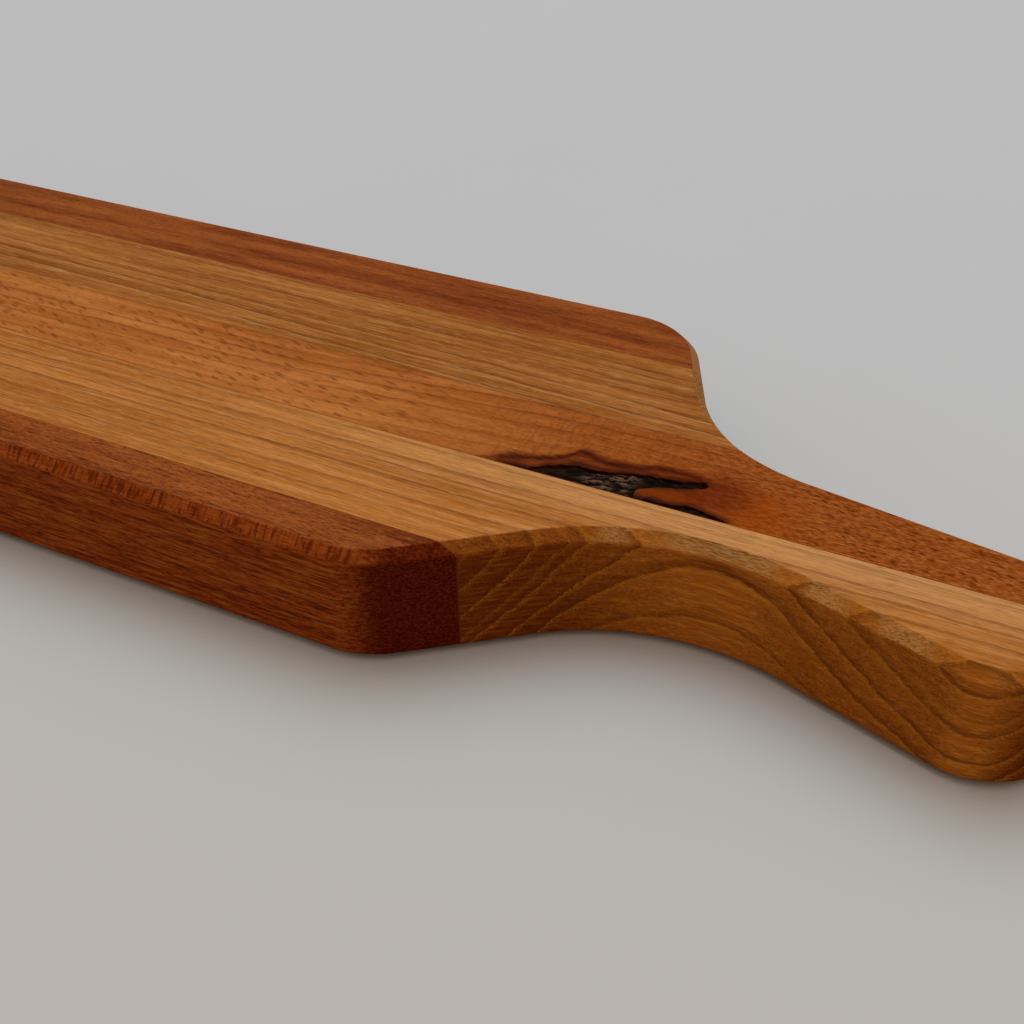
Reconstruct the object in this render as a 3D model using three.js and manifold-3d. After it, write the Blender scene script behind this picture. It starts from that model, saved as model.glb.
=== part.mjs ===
// Edge-glued cutting board with an angled handle.
// Millimetres, +Z up, +X towards the handle, +Y towards the far edge.
// The origin is under the middle of the board, on the surface that it lies on.

import * as THREE from 'three';
import { mergeVertices } from 'three/addons/utils/BufferGeometryUtils.js';
import Module from 'manifold-3d';

// Staves: the width of each strip of wood, from the near edge to the far edge
const NEAR_RED_WIDTH = 11.9;
const NEAR_LIGHT_WIDTH = 28.3;
const BEECH_WIDTH = 24.8;
const FAR_LIGHT_WIDTH = 27.8;
const FAR_RED_WIDTH = 21.4;
const GLUE_THICKNESS = 0.2;

// Blade: long edges are measured from the back end to where each shoulder's sharp corner would be
const THICKNESS = 25;
const FAR_EDGE_LENGTH = 290;
const NEAR_EDGE_LENGTH = 263.6;
const BACK_CORNER_RADIUS = 21;
const SHOULDER_RADIUS = 21;

// Shoulders: each slopes from its corner to the neck, at an angle to the long edge
const FAR_SHOULDER_ANGLE = 66.4;
const FAR_SHOULDER_LENGTH = 53.5;
const NEAR_SHOULDER_ANGLE = 37.5;
const NEAR_SHOULDER_LENGTH = 62;
const FAR_NECK_RADIUS = 39.5;
const NEAR_NECK_RADIUS = 53.5;

// Handle: its axis leans towards the near edge, and both its sides flare out from the axis
const HANDLE_TILT = 13.3;
const HANDLE_FLARE = 4;
const HANDLE_LENGTH = 76;
const HANDLE_END_RADIUS = 16.5;

// Arrises: a chamfer round the top, and the underside's edge just broken with sandpaper
const TOP_CHAMFER = 2.3;
const BOTTOM_EASE = 0.6;

// Ingrown bark in the beech, against the near glue line, starting past the near shoulder's corner
const BARK_SETBACK = 16.5;
const BARK_DEPTH = 6;
const STREAK_DEPTH = 4;
const BARK_RECESS = 0.8;
const BARK_CLEARANCE = 0.3;

// Outlines of the bark: distance along the glue line from its start, then in from the glue line
const BARK_INCLUSION_OUTLINE = [
  [-0.2, 0], [0.5, 0.9], [2.8, 2.8], [7.4, 5.4], [13.8, 6], [21.4, 8.3], [29.5, 9.6], [33.6, 11],
  [35.3, 9.9], [32.2, 7.7], [26.6, 5.6], [22.8, 3], [22.9, 0],
];
const BARK_STREAK_OUTLINE = [
  [24.8, 0], [25.4, 0.8], [29.6, 1], [34.1, 2.2], [37.6, 1.5], [41.4, 0.6], [42.6, 0],
];

// The most of a side that the two fillets at its ends may take up, so that a straight piece is left
const FILLET_SHARE = 0.98;

// Facets
const ARC_STEPS = 16;
const BARK_STEPS = 3;
const DRAW_IN_DIRECTIONS = 8;
const MERGE_DISTANCE = 1e-4;

// Materials: oiled wood, and bark as it grew
const oiledWood = { roughness: 0.45, metalness: 0 };
const redWood = { color: 0x85472a, ...oiledWood };
const lightWood = { color: 0xa5672f, ...oiledWood };
const beech = { color: 0x9e5d2d, ...oiledWood };
const glue = { color: 0x5a3416, roughness: 0.5, metalness: 0 };
const bark = { color: 0x33261d, roughness: 0.9, metalness: 0 };

// Layers of the glued-up panel, from the near edge to the far edge
const layers = [
  { name: 'near_red_stave', width: NEAR_RED_WIDTH, look: redWood },
  { name: 'near_outer_glue_line', width: GLUE_THICKNESS, look: glue },
  { name: 'near_light_stave', width: NEAR_LIGHT_WIDTH, look: lightWood },
  { name: 'near_inner_glue_line', width: GLUE_THICKNESS, look: glue },
  { name: 'centre_beech_stave', width: BEECH_WIDTH, look: beech },
  { name: 'far_inner_glue_line', width: GLUE_THICKNESS, look: glue },
  { name: 'far_light_stave', width: FAR_LIGHT_WIDTH, look: lightWood },
  { name: 'far_outer_glue_line', width: GLUE_THICKNESS, look: glue },
  { name: 'far_red_stave', width: FAR_RED_WIDTH, look: redWood },
];
const boardWidth = layers.reduce((sum, { width }) => sum + width, 0);

// Cutting solids run this far past what they cut
const cutMargin = THICKNESS;

const wasm = await Module();
wasm.setup();

// Solids

function solidFrom(geometry) {
  geometry.deleteAttribute('normal');
  geometry.deleteAttribute('uv');
  const merged = mergeVertices(geometry, MERGE_DISTANCE);
  return new wasm.Manifold(new wasm.Mesh({
    numProp: 3,
    vertProperties: merged.attributes.position.array,
    triVerts: Uint32Array.from(merged.index.array),
  }));
}

function geometryFrom(solid) {
  const mesh = solid.getMesh();
  const geometry = new THREE.BufferGeometry();
  geometry.setAttribute('position', new THREE.BufferAttribute(mesh.vertProperties, 3));
  geometry.setIndex(new THREE.BufferAttribute(mesh.triVerts, 1));
  geometry.computeVertexNormals();
  return geometry;
}

// A prism between two heights, with both its arrises cut back by bevel
function bevelledPrism(shape, low, high, bevel, curveSegments) {
  const geometry = new THREE.ExtrudeGeometry(shape, {
    depth: high - low - 2 * bevel,
    bevelThickness: bevel,
    bevelSize: bevel,
    bevelOffset: -bevel,
    bevelSegments: 1,
    curveSegments,
  });
  geometry.translate(0, 0, low + bevel);
  return solidFrom(geometry);
}

function straightPrism(shape, low, high, curveSegments, shift = new THREE.Vector2()) {
  const geometry = new THREE.ExtrudeGeometry(shape, { depth: high - low, bevelEnabled: false, curveSegments });
  geometry.translate(shift.x, shift.y, low);
  return solidFrom(geometry);
}

// Outline of the board

function along(start, headingDegrees, distance) {
  const heading = THREE.MathUtils.degToRad(headingDegrees);
  return new THREE.Vector2(Math.cos(heading), Math.sin(heading)).multiplyScalar(distance).add(start);
}

function crossing(start, heading, otherStart, otherHeading) {
  const direction = along(new THREE.Vector2(), heading, 1);
  const otherDirection = along(new THREE.Vector2(), otherHeading, 1);
  const apart = otherStart.clone().sub(start);
  return along(start, heading, apart.cross(otherDirection) / direction.cross(otherDirection));
}

// A closed outline through sharp corners, each rounded to its own radius as far as its two sides have room
function roundedOutline(corners) {
  const fillets = corners.map(({ point, radius }, index) => {
    const toLast = corners.at(index - 1).point.clone().sub(point);
    const toNext = corners[(index + 1) % corners.length].point.clone().sub(point);
    const halfAngle = toLast.angleTo(toNext) / 2;
    return { point, radius, toLast, toNext, halfAngle, tangent: radius / Math.tan(halfAngle) };
  });
  const shape = new THREE.Shape();
  fillets.forEach(({ point, radius, toLast, toNext, halfAngle, tangent }, index) => {
    const last = fillets.at(index - 1);
    const next = fillets[(index + 1) % fillets.length];
    const lastSideRoom = FILLET_SHARE * toLast.length() / (tangent + last.tangent);
    const nextSideRoom = FILLET_SHARE * toNext.length() / (tangent + next.tangent);
    const room = Math.min(1, lastSideRoom, nextSideRoom);
    const towardsLast = toLast.clone().normalize();
    const towardsNext = toNext.clone().normalize();
    const inward = towardsLast.clone().add(towardsNext).normalize();
    const centre = point.clone().addScaledVector(inward, radius * room / Math.sin(halfAngle));
    const arcStart = point.clone().addScaledVector(towardsLast, tangent * room);
    const arcEnd = point.clone().addScaledVector(towardsNext, tangent * room);
    const turnsRight = toLast.cross(toNext) > 0;
    shape.absarc(
      centre.x, centre.y, radius * room,
      arcStart.sub(centre).angle(), arcEnd.sub(centre).angle(), turnsRight,
    );
  });
  shape.closePath();
  return shape;
}

const nearEdge = -boardWidth / 2;
const farEdge = boardWidth / 2;
const nearShoulder = new THREE.Vector2(NEAR_EDGE_LENGTH, nearEdge);
const farShoulder = new THREE.Vector2(FAR_EDGE_LENGTH, farEdge);
const nearNeck = along(nearShoulder, NEAR_SHOULDER_ANGLE, NEAR_SHOULDER_LENGTH);
const farNeck = along(farShoulder, -FAR_SHOULDER_ANGLE, FAR_SHOULDER_LENGTH);
const nearHandleHeading = -HANDLE_TILT - HANDLE_FLARE;
const farHandleHeading = -HANDLE_TILT + HANDLE_FLARE;
const handleEndHeading = 90 - HANDLE_TILT;
const nearHandleEnd = along(nearNeck, nearHandleHeading, HANDLE_LENGTH);
const farHandleEnd = crossing(farNeck, farHandleHeading, nearHandleEnd, handleEndHeading);

const outline = roundedOutline([
  { point: new THREE.Vector2(0, nearEdge), radius: BACK_CORNER_RADIUS },
  { point: nearShoulder, radius: SHOULDER_RADIUS },
  { point: nearNeck, radius: NEAR_NECK_RADIUS },
  { point: nearHandleEnd, radius: HANDLE_END_RADIUS },
  { point: farHandleEnd, radius: HANDLE_END_RADIUS },
  { point: farNeck, radius: FAR_NECK_RADIUS },
  { point: farShoulder, radius: SHOULDER_RADIUS },
  { point: new THREE.Vector2(0, farEdge), radius: BACK_CORNER_RADIUS },
]);
const extent = new THREE.Box2().setFromPoints(outline.getPoints(ARC_STEPS));

// The glued-up panel, cut to its outline: one solid gives the chamfer, the other the broken lower edge
const chamfered = bevelledPrism(outline, -cutMargin, THICKNESS, TOP_CHAMFER, ARC_STEPS);
const eased = bevelledPrism(outline, 0, THICKNESS + cutMargin, BOTTOM_EASE, ARC_STEPS);
const panel = chamfered.intersect(eased);

// A slice of space between two planes across the board, past every other face of the panel
function slab(nearFace, farFace) {
  const left = extent.min.x - cutMargin;
  const right = extent.max.x + cutMargin;
  const shape = new THREE.Shape([
    new THREE.Vector2(left, nearFace),
    new THREE.Vector2(right, nearFace),
    new THREE.Vector2(right, farFace),
    new THREE.Vector2(left, farFace),
  ]);
  return straightPrism(shape, -cutMargin, THICKNESS + cutMargin, 1);
}

// Bark

// The outline runs out past the glue face, so that the pocket is open to the glue line
function barkOutline(points, glueFace) {
  const start = nearShoulder.x + BARK_SETBACK;
  const [first, ...rest] = points.map(([length, depth]) => new THREE.Vector2(start + length, glueFace + depth));
  const last = rest.at(-1);
  const shape = new THREE.Shape();
  shape.moveTo(first.x, first.y - cutMargin);
  shape.lineTo(first.x, first.y);
  shape.splineThru(rest);
  shape.lineTo(last.x, last.y - cutMargin);
  shape.closePath();
  return shape;
}

function barkPocket(shape, depth) {
  return straightPrism(shape, THICKNESS - depth, THICKNESS + cutMargin, BARK_STEPS);
}

// The bark fills its pocket's outline, drawn in from every side by the clearance
function barkFilling(shape, depth, glueFace) {
  const low = THICKNESS - depth + BARK_CLEARANCE;
  const high = THICKNESS - BARK_RECESS;
  let filling = slab(glueFace + BARK_CLEARANCE, farEdge);
  for (let turn = 0; turn < DRAW_IN_DIRECTIONS; turn += 1) {
    const shift = along(new THREE.Vector2(), 360 * turn / DRAW_IN_DIRECTIONS, BARK_CLEARANCE);
    filling = filling.intersect(straightPrism(shape, low, high, BARK_STEPS, shift));
  }
  return filling;
}

// Assembly

const board = new THREE.Group();

function addPiece(name, solid, look) {
  const mesh = new THREE.Mesh(geometryFrom(solid), new THREE.MeshStandardMaterial(look));
  mesh.name = name;
  board.add(mesh);
}

let nearFace = nearEdge;
for (const { name, width, look } of layers) {
  const farFace = nearFace + width;
  let piece = panel.intersect(slab(nearFace, farFace));
  if (name === 'centre_beech_stave') {
    const inclusion = barkOutline(BARK_INCLUSION_OUTLINE, nearFace);
    const streak = barkOutline(BARK_STREAK_OUTLINE, nearFace);
    piece = piece.subtract(barkPocket(inclusion, BARK_DEPTH)).subtract(barkPocket(streak, STREAK_DEPTH));
    addPiece('bark_inclusion', barkFilling(inclusion, BARK_DEPTH, nearFace), bark);
    addPiece('bark_streak', barkFilling(streak, STREAK_DEPTH, nearFace), bark);
  }
  addPiece(name, piece, look);
  nearFace = farFace;
}

board.position.x = -(extent.min.x + extent.max.x) / 2;

export default board;
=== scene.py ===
# Edge-glued cutting board with an angled handle: the finished looks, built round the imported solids.
# Metres, +Z up, +X towards the handle, +Y towards the far edge.

import math

import bmesh
import bpy
from bpy.props import FloatProperty, FloatVectorProperty, PointerProperty
from mathutils import Matrix, Quaternion, Vector, geometry, noise


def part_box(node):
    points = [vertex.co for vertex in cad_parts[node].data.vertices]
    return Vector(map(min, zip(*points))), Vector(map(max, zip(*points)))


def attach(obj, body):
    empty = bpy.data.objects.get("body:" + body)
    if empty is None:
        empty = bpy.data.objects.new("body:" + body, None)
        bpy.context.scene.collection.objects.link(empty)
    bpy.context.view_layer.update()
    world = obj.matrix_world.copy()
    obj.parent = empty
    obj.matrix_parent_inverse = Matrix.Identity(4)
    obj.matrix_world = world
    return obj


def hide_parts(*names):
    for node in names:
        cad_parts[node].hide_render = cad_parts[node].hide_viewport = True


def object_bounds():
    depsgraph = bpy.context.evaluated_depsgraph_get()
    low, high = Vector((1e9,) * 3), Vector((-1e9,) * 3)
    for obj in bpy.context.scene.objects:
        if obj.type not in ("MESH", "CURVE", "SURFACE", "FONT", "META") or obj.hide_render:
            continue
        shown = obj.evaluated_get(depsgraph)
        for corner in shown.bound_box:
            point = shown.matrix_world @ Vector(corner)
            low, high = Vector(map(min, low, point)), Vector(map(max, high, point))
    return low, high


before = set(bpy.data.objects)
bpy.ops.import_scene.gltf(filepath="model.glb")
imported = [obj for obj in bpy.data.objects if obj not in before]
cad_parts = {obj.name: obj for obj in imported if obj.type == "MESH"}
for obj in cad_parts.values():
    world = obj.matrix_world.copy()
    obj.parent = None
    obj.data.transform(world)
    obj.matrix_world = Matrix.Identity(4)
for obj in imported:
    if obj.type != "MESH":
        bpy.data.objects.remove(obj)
CAD_LOW, CAD_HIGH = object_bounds()

bl_info = {
    "name": "Edge-glued cutting board",
    "version": (1, 0, 0),
    "blender": (4, 5, 0),
    "location": "View3D > Sidebar > Board",
    "description": "Builds the staves, glue lines and bark of a cutting board, and a plain studio for it",
    "category": "Object",
}

MM = 0.001


def linear(code):
    """Linear red, green and blue of an sRGB hex colour."""
    channels = [int(code[start:start + 2], 16) / 255 for start in (1, 3, 5)]
    return tuple(c / 12.92 if c <= 0.04045 else ((c + 0.055) / 1.055) ** 2.4 for c in channels)


def colour_setting(name, description, code):
    return FloatVectorProperty(
        name=name, description=description, default=linear(code), subtype="COLOR", size=3)


def length_setting(name, description, millimetres):
    return FloatProperty(
        name=name, description=description, default=millimetres * MM, unit="LENGTH", precision=5)


def angle_setting(name, description, degrees):
    return FloatProperty(
        name=name, description=description, default=math.radians(degrees), subtype="ANGLE")


# Settings

class BoardSizes(bpy.types.PropertyGroup):
    """Sizes of the board's outline and of its arrises"""

    far_edge: length_setting("Far edge", "Back end to the far shoulder's sharp corner", 290)
    near_edge: length_setting("Near edge", "Back end to the near shoulder's sharp corner", 263.6)
    back_radius: length_setting("Back corners", "Radius of the two corners at the back end", 21)
    shoulder_radius: length_setting("Shoulders", "Radius of the two shoulder corners", 21)
    far_slope: angle_setting("Far slope", "Angle of the far shoulder's slope to the long edge", 66.4)
    far_slope_length: length_setting(
        "Far slope length", "Far shoulder's corner to the far neck's corner", 53.5)
    near_slope: angle_setting("Near slope", "Angle of the near shoulder's slope to the long edge", 37.5)
    near_slope_length: length_setting(
        "Near slope length", "Near shoulder's corner to the near neck's corner", 62)
    far_neck_radius: length_setting("Far neck", "Radius of the hollow at the far side of the neck", 39.5)
    near_neck_radius: length_setting(
        "Near neck", "Radius of the hollow at the near side of the neck", 53.5)
    handle_tilt: angle_setting(
        "Handle tilt", "Angle by which the handle leans towards the near edge", 13.3)
    handle_flare: angle_setting(
        "Handle flare", "Angle by which each side of the handle leaves its axis", 4)
    handle_length: length_setting(
        "Handle", "Near neck's corner to the near corner of the handle's end", 76)
    handle_end_radius: length_setting("Handle end", "Radius of the two corners of the handle's end", 16.5)
    chamfer: length_setting("Chamfer", "Width and height of the chamfer round the top", 2.3)
    ease: length_setting("Eased edge", "Width of the underside's broken edge", 0.6)
    arris_radius: length_setting("Arris", "Radius that sandpaper leaves on the arrises", 0.6)
    foot_radius: length_setting(
        "Foot arris", "Radius that wear leaves on the eased edge of the underside", 1.0)
    wall_arris_radius: length_setting(
        "Wall arris", "Larger radius where the chamfer meets the wall, which the hand has worn", 1.2)


class BarkSizes(bpy.types.PropertyGroup):
    """Place and relief of the ingrown bark"""

    setback: length_setting(
        "Setback", "Near shoulder's corner to where the bark first meets the glue line", 16.5)
    depth: length_setting("Depth", "Depth of the pocket that the bark fills", 6)
    streak_depth: length_setting("Streak depth", "Depth of the pocket of the thin streak", 4)
    recess: length_setting("Recess", "How far the bark's plates lie under the cutting face", 0.1)
    relief: length_setting("Relief", "Height of the bark's plates above its cracks", 0.9)


class WoodColours(bpy.types.PropertyGroup):
    """Colours of the oiled wood, the glue and the bark"""

    elm_pale: colour_setting("Near elm, pale", "Pale streaks of the near golden stave", "#B57030")
    elm_deep: colour_setting("Near elm, deep", "Deeper streaks of the near golden stave", "#9F5C1D")
    elm_far_pale: colour_setting("Far elm, pale", "Pale streaks of the far golden stave", "#A46425")
    elm_far_deep: colour_setting("Far elm, deep", "Deeper streaks of the far golden stave", "#82450A")
    # Pale golden colour of the fibres and early wood; on the top towards the handle it is also a painted
    # highlight
    elm_pale_and_highlight: colour_setting("Elm, worn", "Golden wood paled by handling", "#CC955C")
    # Painted light and shade: the upright walls and the chamfer get their own copy of the golden wood's
    # colour, for how they catch the light
    elm_wall: colour_setting("Elm, wall", "Golden wood on the upright walls", "#AC5E15")
    elm_line: colour_setting("Elm, lines", "Growth lines and pores of the golden wood", "#5A2806")
    # Painted light and shade: this and the next colour are the walls' copies of the pale fibres and of the
    # growth lines
    elm_wall_pale: colour_setting(
        "Elm, wall fibres", "Pale fibres on the upright walls", "#CC7F24")
    elm_wall_line: colour_setting(
        "Elm, wall lines", "Growth lines of the golden wood on the upright walls", "#582604")
    elm_end: colour_setting(
        "Elm, end grain", "Golden wood cut across its fibres, where the oil soaks in", "#4A0800")
    torn_fibre: colour_setting("Torn fibre", "Pale fuzz where the chamfer crosses the fibres", "#B2864C")
    beech_pale: colour_setting("Beech, pale", "Pale streaks of the beech", "#BC7438")
    beech_deep: colour_setting("Beech, deep", "Deeper streaks of the beech", "#9F5820")
    beech_handle: colour_setting("Beech, handle", "Redder beech towards the handle", "#944A12")
    beech_fleck: colour_setting("Beech, flecks", "Ray flecks and growth lines of the beech", "#5C2402")
    beech_end: colour_setting("Beech, end grain", "Beech cut across its fibres", "#5A220A")
    beech_stain: colour_setting("Beech, stain", "Red-brown beech round the bark", "#581702")
    beech_halo: colour_setting("Beech, halo", "Dark line at the edge of the stain", "#2C0801")
    beech_scorch: colour_setting("Beech, scorch", "Dark brown wood right beside the bark", "#341003")
    beech_glow: colour_setting("Beech, glow", "Bright orange wood beside the stain", "#8E3C02")
    sapele_pale: colour_setting("Sapele, pale", "Pale ribbons of the red-brown wood", "#9A521F")
    sapele_deep: colour_setting("Sapele, deep", "Deep ribbons of the red-brown wood", "#702F0C")
    # Painted light and shade: the upright walls and the chamfer get their own copy of the red-brown wood's
    # colour, for how they catch the light
    sapele_wall: colour_setting("Sapele, wall", "Red-brown wood on the upright walls", "#A6420A")
    sapele_pore: colour_setting("Sapele, pores", "Pores of the red-brown wood", "#451005")
    sapele_end: colour_setting("Sapele, end grain", "Red-brown wood cut across its fibres", "#420200")
    sapele_fuzz: colour_setting(
        "Sapele, fuzz", "Pale fuzz where the chamfer crosses the fibres of the red-brown wood", "#9C6C42")
    # Painted highlight: a pale colour laid on fibres and pores for the glint of light off the oil
    painted_glint: colour_setting("Fibre sheen", "Pale glint of the fibres under the oil", "#D6B08A")
    glue: colour_setting("Glue", "Cured wood glue in the joints", "#7A4418")
    bark_plate: colour_setting("Bark, plates", "Worn grey-brown plates of the bark", "#604838")
    bark_inner: colour_setting("Bark, inner", "Brown bark between the plates", "#201006")
    # Nearly black: the bark's cracks, a line along the glue joint, and painted shade on the walls of the
    # bark's pocket
    crack_and_shade_black: colour_setting("Bark, cracks", "Nearly black cracks of the bark", "#0D0604")


class StudioSettings(bpy.types.PropertyGroup):
    """Floor, light and camera"""

    floor: colour_setting("Floor", "Pale floor under the board", "#BDBDBC")
    # Painted light: the floor is coloured warmer in front, for the room's warm light that falls there
    floor_painted_warmth: colour_setting(
        "Floor, front", "Floor in front of the board, where the room's warm light falls", "#BCB9B1")
    sky_strength: FloatProperty(
        name="Sky", description="Strength of the soft light from all round, at the horizon", default=0.4)
    lamp_power: FloatProperty(
        name="Lamp", description="Power of the large soft lamp above and behind the board",
        default=426.0, subtype="POWER", unit="POWER")
    sky_lean: FloatProperty(
        name="Sky lean", description="Share by which the soft light is brighter from the far side",
        default=0.42, subtype="FACTOR")
    sky_rise: FloatProperty(
        name="Sky rise", description="Share by which the soft light is brighter from straight above",
        default=1.0, subtype="FACTOR")
    sky: colour_setting("Sky colour", "Warm tint of the light that the room throws back", "#FFE7D7")
    lamp: colour_setting(
        "Lamp colour", "Cool tint of the lamp, which makes up for the warm room", "#CAEBFF")
    lens: FloatProperty(
        name="Lens", description="Focal length on a 36 mm sensor", default=43.67, unit="CAMERA")


class BoardSettings(bpy.types.PropertyGroup):
    """Everything that can be set on the board"""

    sizes: PointerProperty(type=BoardSizes, name="Sizes", description="Outline and arrises")
    bark: PointerProperty(type=BarkSizes, name="Bark", description="Ingrown bark")
    colours: PointerProperty(type=WoodColours, name="Colours", description="Wood, glue and bark")
    studio: PointerProperty(type=StudioSettings, name="Studio", description="Floor, light and camera")


def settings():
    return bpy.context.scene.cutting_board


# Shapes

ARC_STEP = 1.0 * MM
RUN_STEP = 5.0 * MM
ARRIS_STEPS = 4
SHARP_ANGLE = math.radians(35)
CUT_TOLERANCE = 0.001 * MM


def heading(angle):
    return Vector((math.cos(angle), math.sin(angle)))


def crossing(start, direction, other_start, other_direction):
    apart = other_start - start
    return start + direction * (apart.cross(other_direction) / direction.cross(other_direction))


def fillet(last, corner, following, radius, steps):
    """Points of the arc that rounds a corner, each with the direction to the left of the way round."""
    to_last = (last - corner).normalized()
    to_next = (following - corner).normalized()
    half_angle = to_last.angle(to_next) / 2
    centre = corner + (to_last + to_next).normalized() * (radius / math.sin(half_angle))
    spoke = corner + to_last * (radius / math.tan(half_angle)) - centre
    turns_left = to_last.cross(to_next) < 0
    sweep = (math.pi - 2 * half_angle) * (1 if turns_left else -1)
    spokes = [Matrix.Rotation(sweep * step / steps, 2) @ spoke for step in range(steps + 1)]
    return [(centre + arm, -arm.normalized() if turns_left else arm.normalized()) for arm in spokes]


def near_shoulder_corner():
    return Vector((CAD_LOW.x + settings().sizes.near_edge, CAD_LOW.y))


def outline_stations():
    """Points round the board's edge, anticlockwise from above, each with the direction into the wood."""
    sizes = settings().sizes
    back = CAD_LOW.x
    near_shoulder = near_shoulder_corner()
    far_shoulder = Vector((back + sizes.far_edge, CAD_HIGH.y))
    near_neck = near_shoulder + heading(sizes.near_slope) * sizes.near_slope_length
    far_neck = far_shoulder + heading(-sizes.far_slope) * sizes.far_slope_length
    near_end = near_neck + heading(-sizes.handle_tilt - sizes.handle_flare) * sizes.handle_length
    far_end = crossing(
        far_neck, heading(-sizes.handle_tilt + sizes.handle_flare),
        near_end, heading(math.pi / 2 - sizes.handle_tilt))
    corners = [
        (Vector((back, CAD_LOW.y)), sizes.back_radius),
        (near_shoulder, sizes.shoulder_radius),
        (near_neck, sizes.near_neck_radius),
        (near_end, sizes.handle_end_radius),
        (far_end, sizes.handle_end_radius),
        (far_neck, sizes.far_neck_radius),
        (far_shoulder, sizes.shoulder_radius),
        (Vector((back, CAD_HIGH.y)), sizes.back_radius),
    ]
    arcs = []
    for index, (corner, radius) in enumerate(corners):
        last = corners[index - 1][0]
        following = corners[(index + 1) % len(corners)][0]
        arcs += fillet(last, corner, following, radius, math.ceil(radius / ARC_STEP))
    stations = []
    for (point, inward), (next_point, _) in zip(arcs, arcs[1:] + arcs[:1]):
        steps = max(1, math.ceil((next_point - point).length / RUN_STEP))
        stations += [(point.lerp(next_point, step / steps), inward) for step in range(steps)]
    return stations


def edge_profile():
    """Inset and height up the board's edge: eased lower edge, wall, chamfer, with sanded arrises."""
    sizes = settings().sizes
    top = CAD_HIGH.z
    inside = 2 * sizes.chamfer
    corners = [
        (Vector((sizes.ease, CAD_LOW.z)), sizes.foot_radius),
        (Vector((0, CAD_LOW.z + sizes.ease)), sizes.foot_radius),
        (Vector((0, top - sizes.chamfer)), sizes.wall_arris_radius),
        (Vector((sizes.chamfer, top)), sizes.arris_radius),
    ]
    places = [Vector((inside, CAD_LOW.z)), *(place for place, _ in corners), Vector((inside, top))]
    profile = []
    for last, (corner, radius), following in zip(places, corners, places[2:]):
        profile += [point for point, _ in fillet(last, corner, following, radius, ARRIS_STEPS)]
    return profile


def panel_mesh():
    """The whole glued-up panel as one closed mesh."""
    panel = bmesh.new()
    stations = outline_stations()
    rings = [
        [panel.verts.new((*(point + inward * inset), height)) for point, inward in stations]
        for inset, height in edge_profile()
    ]
    for lower, upper in zip(rings, rings[1:]):
        for corner in zip(lower, lower[1:] + lower[:1], upper[1:] + upper[:1], upper):
            panel.faces.new(corner)
    caps = [panel.faces.new(list(reversed(rings[0]))), panel.faces.new(rings[-1])]
    panel.normal_update()
    bmesh.ops.triangulate(panel, faces=caps, ngon_method="EAR_CLIP")
    return panel


def cut(mesh, place, normal):
    """Cuts a mesh along a plane, drops what lies on the normal's side, and closes the cut."""
    bmesh.ops.bisect_plane(
        mesh, geom=mesh.verts[:] + mesh.edges[:] + mesh.faces[:], dist=CUT_TOLERANCE,
        plane_co=place, plane_no=normal, clear_outer=True)
    bmesh.ops.holes_fill(mesh, edges=[edge for edge in mesh.edges if edge.is_boundary], sides=0)


def layer_mesh(node):
    """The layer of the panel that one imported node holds."""
    low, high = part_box(node)
    layer = panel_mesh()
    if low.y > CAD_LOW.y + CUT_TOLERANCE:
        cut(layer, (0, low.y, 0), (0, -1, 0))
    if high.y < CAD_HIGH.y - CUT_TOLERANCE:
        cut(layer, (0, high.y, 0), (0, 1, 0))
    return layer


def piece_from(mesh, name, node, material):
    """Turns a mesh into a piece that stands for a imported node."""
    bmesh.ops.recalc_face_normals(mesh, faces=mesh.faces)
    data = bpy.data.meshes.new(name)
    mesh.to_mesh(data)
    mesh.free()
    data.shade_smooth()
    data.set_sharp_from_angle(angle=SHARP_ANGLE)
    data.materials.append(material)
    piece = bpy.data.objects.new(name, data)
    bpy.context.scene.collection.objects.link(piece)
    flat_faces = piece.modifiers.new("Flat faces stay flat", "WEIGHTED_NORMAL")
    flat_faces.keep_sharp = True
    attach(piece, "root")
    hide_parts(node)
    return piece


# Place of the bark

# Outlines of the bark in millimetres: along the glue line from its start, then in from the glue line
BARK_INCLUSION = [
    (-0.2, 0), (0.5, 0.9), (2.8, 2.8), (7.4, 5.4), (13.8, 6), (21.4, 8.3), (29.5, 9.6), (33.6, 11),
    (35.3, 9.9), (32.2, 7.7), (26.6, 5.6), (22.8, 3), (22.9, 0),
]
# Number of points from the start of the inclusion to its tip
BARK_TIP = 8
BARK_STREAK = [(24.8, 0), (25.4, 0.8), (29.6, 1), (34.1, 2.2), (37.6, 1.5), (41.4, 0.6), (42.6, 0)]


def bark_start():
    """Where the bark first meets the glue line, along and across the board in metres."""
    return near_shoulder_corner().x + settings().bark.setback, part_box("centre_beech_stave")[0].y


# Materials

def add(tree, kind, options, inputs):
    """Adds a shader node with its options and inputs; a node given as an input lends its first output."""
    node = tree.nodes.new("ShaderNode" + kind)
    for name, value in options.items():
        setattr(node, name, value)
    live = [socket for socket in node.inputs if socket.enabled]
    for key, value in inputs.items():
        target = live[key] if isinstance(key, int) else next(s for s in live if s.name == key)
        if isinstance(value, bpy.types.Node):
            value = next(socket for socket in value.outputs if socket.enabled)
        if isinstance(value, bpy.types.NodeSocket):
            tree.links.new(value, target)
        elif target.type == "RGBA":
            target.default_value = (*value, 1)
        else:
            target.default_value = value
    return node


def new_material(name):
    material = bpy.data.materials.new(name)
    material.use_nodes = True
    material.node_tree.nodes.clear()
    return material, material.node_tree


def board_place(tree):
    """Place on the board in millimetres."""
    place = add(tree, "TexCoord", {}, {})
    return add(tree, "VectorMath", {"operation": "SCALE"}, {0: place.outputs["Object"], 1: 1 / MM})


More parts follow.
